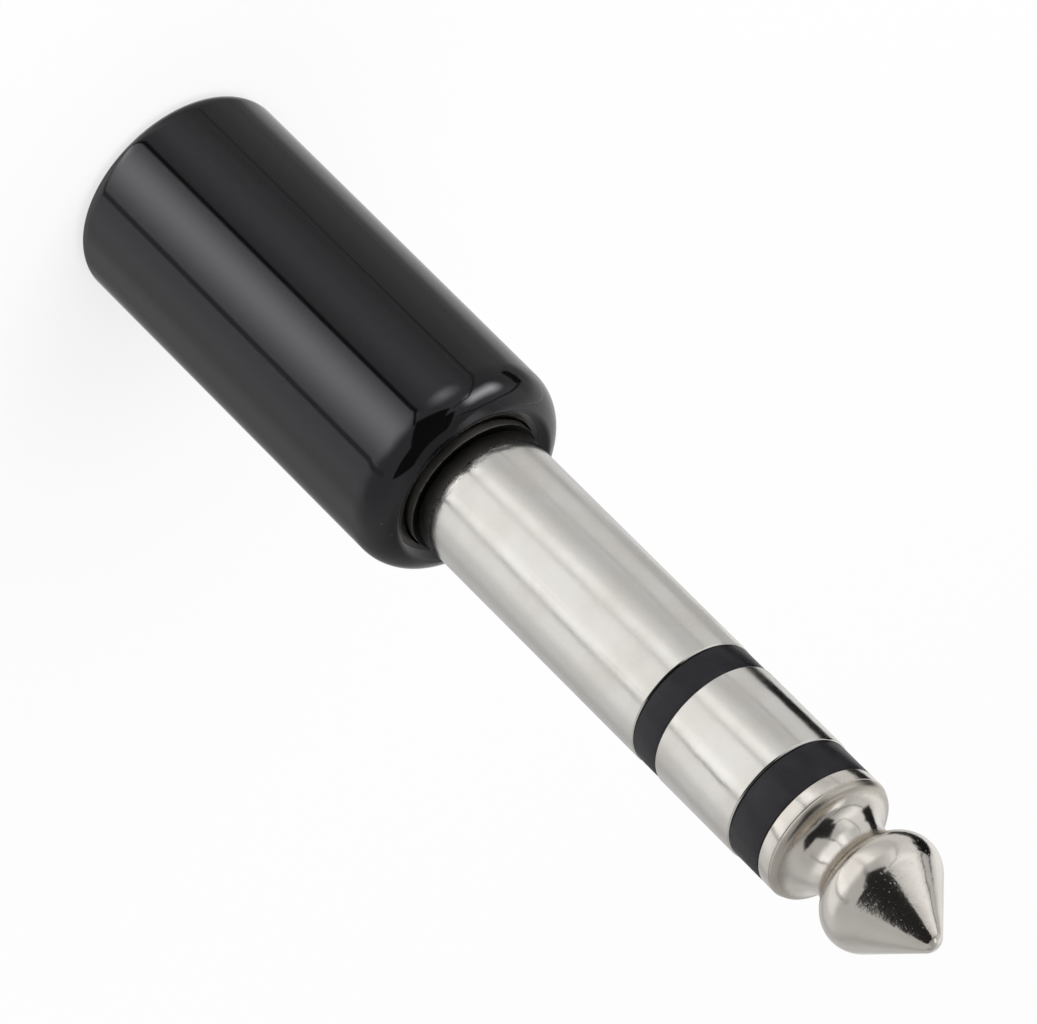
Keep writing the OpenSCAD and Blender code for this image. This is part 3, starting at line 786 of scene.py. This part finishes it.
# Painted shade on the plate just past the shoulder, and in the crease between neck and bulb:
shoulder_shade_tone = (0.5, 0.46, 0.4)
crease_shade_tone = (0.4, 0.35, 0.28)
cone_cos = cos(radians(cone_angle))
cone_sin = sin(radians(cone_angle))
shoulder = (shoulder_in, tip_start + tip_collar_length)
neck_r = waist_r + neck_round
neck = (neck_r, shoulder[1] + (shoulder_round + neck_round) * sin(radians(shoulder_turn)))
crease = (neck_r - neck_round * cos(radians(neck_turn)), neck[1] + neck_round * sin(radians(neck_turn)))
bulb = (bulb_in, crease[1] + bulb_round * sin(radians(bulb_turn)))
nose = (0, bulb[1] + (bulb_round - nose_round + bulb_in * cone_cos) / cone_sin)
tip = outline(0, rivet_rear)
straight(tip, (rivet_r - rivet_bevel, rivet_rear), (rivet_r, rivet_rear + rivet_bevel),
         (rivet_r, rivet_front), (rod_r, rivet_front), (rod_r, tip_start),
         (tip_collar_r - edge_break, tip_start), (tip_collar_r, tip_start + edge_break),
         (tip_collar_r, shoulder[1]), (tip_collar_r - tip_ridge, shoulder[1]))
rounded(tip, shoulder, shoulder_turn, steps=12)
rounded(tip, neck, -(shoulder_turn + neck_turn), steps=32)
straight(tip, crease)
rounded(tip, bulb, bulb_turn + cone_angle, steps=36)
straight(tip, (nose[0] + nose_round * cone_cos, nose[1] + nose_round * cone_sin))
rounded(tip, nose, 90 - cone_angle, steps=16)
# The plate is painted darker and rougher just past the shoulder and in the crease between neck and bulb as
# painted shade.
tip_nickel = nickel_plate(
    "nickel_tip_plate", roughness=0.14, waviness=2.0,
    worn_lines=((tip_start - 0.02, tip_start + 0.07, 0.03),),
    painted_dark_bands=((shoulder[1] + 0.02, shoulder[1] + 0.42, 0.1, 0.1, shoulder_shade_tone, 0.8),
            (crease[1] - 0.4, crease[1] + 0.42, 0.3, 0.1, crease_shade_tone, 0.75)),
    polished=((shoulder[1] + 0.5, crease[1] - 0.3, 0.2, 0.145),
              (crease[1] + 1.9, nose[1] + 1, 0.9, 0.11)),
    scratched=((crease[1] + 0.9, nose[1] + 1, 0.4, 0.0035),),
    bright=tip_bright, warm=tip_warm)
tip_shell = turned("tip_contact_shell", tip, "tip_contact", tip_nickel)
metal_lamps.objects.link(tip_shell)


def finish_nodes(material, *names):
    """Gives CAD nodes their material."""
    for name in names:
        nodes[name].material_slots[0].material = material


tin_bright = (0.7, 0.7, 0.69)
tin_dull = (0.52, 0.51, 0.49)
tinned, tree, shader, spot = new_material("tinned_brass", (0.66, 0.66, 0.65), 1, 0.34)
cloud = place(tree, clouds, Place=spot, Size=0.6, Low=0.3, High=0.7, Detail=3.0)
spangle = place(tree, clouds, Place=spot, Size=0.18, Low=0.3, High=0.7, Detail=1.0)
colour = blend_colour(tree, cloud, tin_bright, tin_dull)
wire(tree, colour, (shader, "Base Color"))
wire(tree, blend(tree, spangle, 0.26, 0.44), (shader, "Roughness"))
wire(tree, bump(tree, spangle, 0.004), (shader, "Normal"))
finish_nodes(tinned, "sleeve_terminal", "ring_terminal", "tip_terminal", "ground_tag")

fibre_red = (0.33, 0.085, 0.045)
fibre_dark = (0.22, 0.05, 0.03)
fibre_strand = (0.42, 0.16, 0.09)
fibre, tree, shader, spot = new_material("red_fibre", (0.3, 0.07, 0.04), 0, 0.72)
strands = place(tree, hairlines, Place=spot, Length=1.2, Width=0.12, Round=1.0, Low=0.35, High=0.65)
cloud = place(tree, clouds, Place=spot, Size=0.7, Low=0.3, High=0.7, Detail=3.0)
colour = blend_colour(tree, cloud, fibre_red, fibre_dark)
colour = blend_colour(tree, times(tree, strands, 0.5), colour, fibre_strand)
wire(tree, colour, (shader, "Base Color"))
wire(tree, blend(tree, strands, 0.66, 0.8), (shader, "Roughness"))
wire(tree, bump(tree, strands, 0.006), (shader, "Normal"))
finish_nodes(fibre, "sleeve_washer", "ring_washer")

# Socket bush. Turned and plated brass whose flange closes the barrel's rear round the 3.5 mm hole.
# The flange was faced on the lathe, and small plugs have rubbed the mouth.
bore_r = 1.8
mouth_bevel = 0.25
bush_r = 2.9
bush_end = 4
bush_flange = 0.8
bush_nickel = nickel_plate(
    "nickel_bush_plate", roughness=0.22, waviness=0.8,
    worn_lines=((0.02, 0.3, 0.06),))
bush = outline(bore_r + mouth_bevel, 0)
straight(bush, (flange_r - edge_break, 0), (flange_r, edge_break), (flange_r, bush_flange),
         (bush_r, bush_flange), (bush_r, bush_end), (bore_r, bush_end), (bore_r, mouth_bevel))
turned("bush_shell", bush, "socket_bush", bush_nickel)

# Socket housing and cap. Dark grey mouldings: the housing is pushed on the bush and holds the springs in
# its slots, and the cap on its front end clamps their tails.
grey_dark = (0.055, 0.055, 0.062)
grey_pale = (0.078, 0.078, 0.086)
grey_plastic, tree, shader, spot = new_material("grey_moulding", (0.06, 0.06, 0.068), 0, 0.45)
cloud = place(tree, clouds, Place=spot, Size=1.2, Low=0.3, High=0.7, Detail=3.0)
grain = place(tree, clouds, Place=spot, Size=0.14, Low=0.3, High=0.7, Detail=2.0)
colour = blend_colour(tree, cloud, grey_dark, grey_pale)
wire(tree, colour, (shader, "Base Color"))
wire(tree, blend(tree, grain, 0.38, 0.54), (shader, "Roughness"))
wire(tree, bump(tree, grain, 0.003), (shader, "Normal"))
finish_nodes(grey_plastic, "socket_housing", "housing_cap")

# Contact springs. Rolled bronze strips, formed with a nose that reaches into the bore.
# They carry the fine grain of rolling along their length.
bronze_bright = (0.74, 0.5, 0.27)
bronze_brown = (0.58, 0.35, 0.18)
bronze_line = (0.82, 0.62, 0.38)
bronze, tree, shader, spot = new_material("spring_bronze", (0.72, 0.48, 0.25), 1, 0.28)
cloud = place(tree, clouds, Place=spot, Size=0.8, Low=0.3, High=0.7, Detail=3.0)
rolled = place(tree, hairlines, Place=spot, Length=3.0, Width=0.06, Round=0.0, Low=0.35, High=0.7)
colour = blend_colour(tree, cloud, bronze_bright, bronze_brown)
colour = blend_colour(tree, times(tree, rolled, 0.35), colour, bronze_line)
wire(tree, colour, (shader, "Base Color"))
wire(tree, blend(tree, rolled, 0.22, 0.36), (shader, "Roughness"))
wire(tree, bump(tree, rolled, 0.0015), (shader, "Normal"))
finish_nodes(bronze, "tip_spring", "ring_spring")

# Link wires. Tinned copper wire from the socket's contacts to the plug's terminals.
# Solder is set round both ends, with a little flux left on it.
solder_bright = (0.68, 0.68, 0.7)
solder_frosted = (0.55, 0.55, 0.56)
flux_brown = (0.4, 0.3, 0.16)
solder, tree, shader, spot = new_material("solder_and_wire", (0.64, 0.64, 0.66), 1, 0.24)
frost = place(tree, clouds, Place=spot, Size=0.25, Low=0.3, High=0.7, Detail=2.0)
flux = place(tree, clouds, Place=spot, Size=0.6, Low=0.55, High=0.75, Detail=2.0)
colour = blend_colour(tree, frost, solder_bright, solder_frosted)
colour = blend_colour(tree, times(tree, flux, 0.5), colour, flux_brown)
wire(tree, colour, (shader, "Base Color"))
wire(tree, blend(tree, frost, 0.18, 0.34), (shader, "Roughness"))
wire(tree, bump(tree, frost, 0.004), (shader, "Normal"))
finish_nodes(solder, "tip_link", "ring_link", "ground_link")
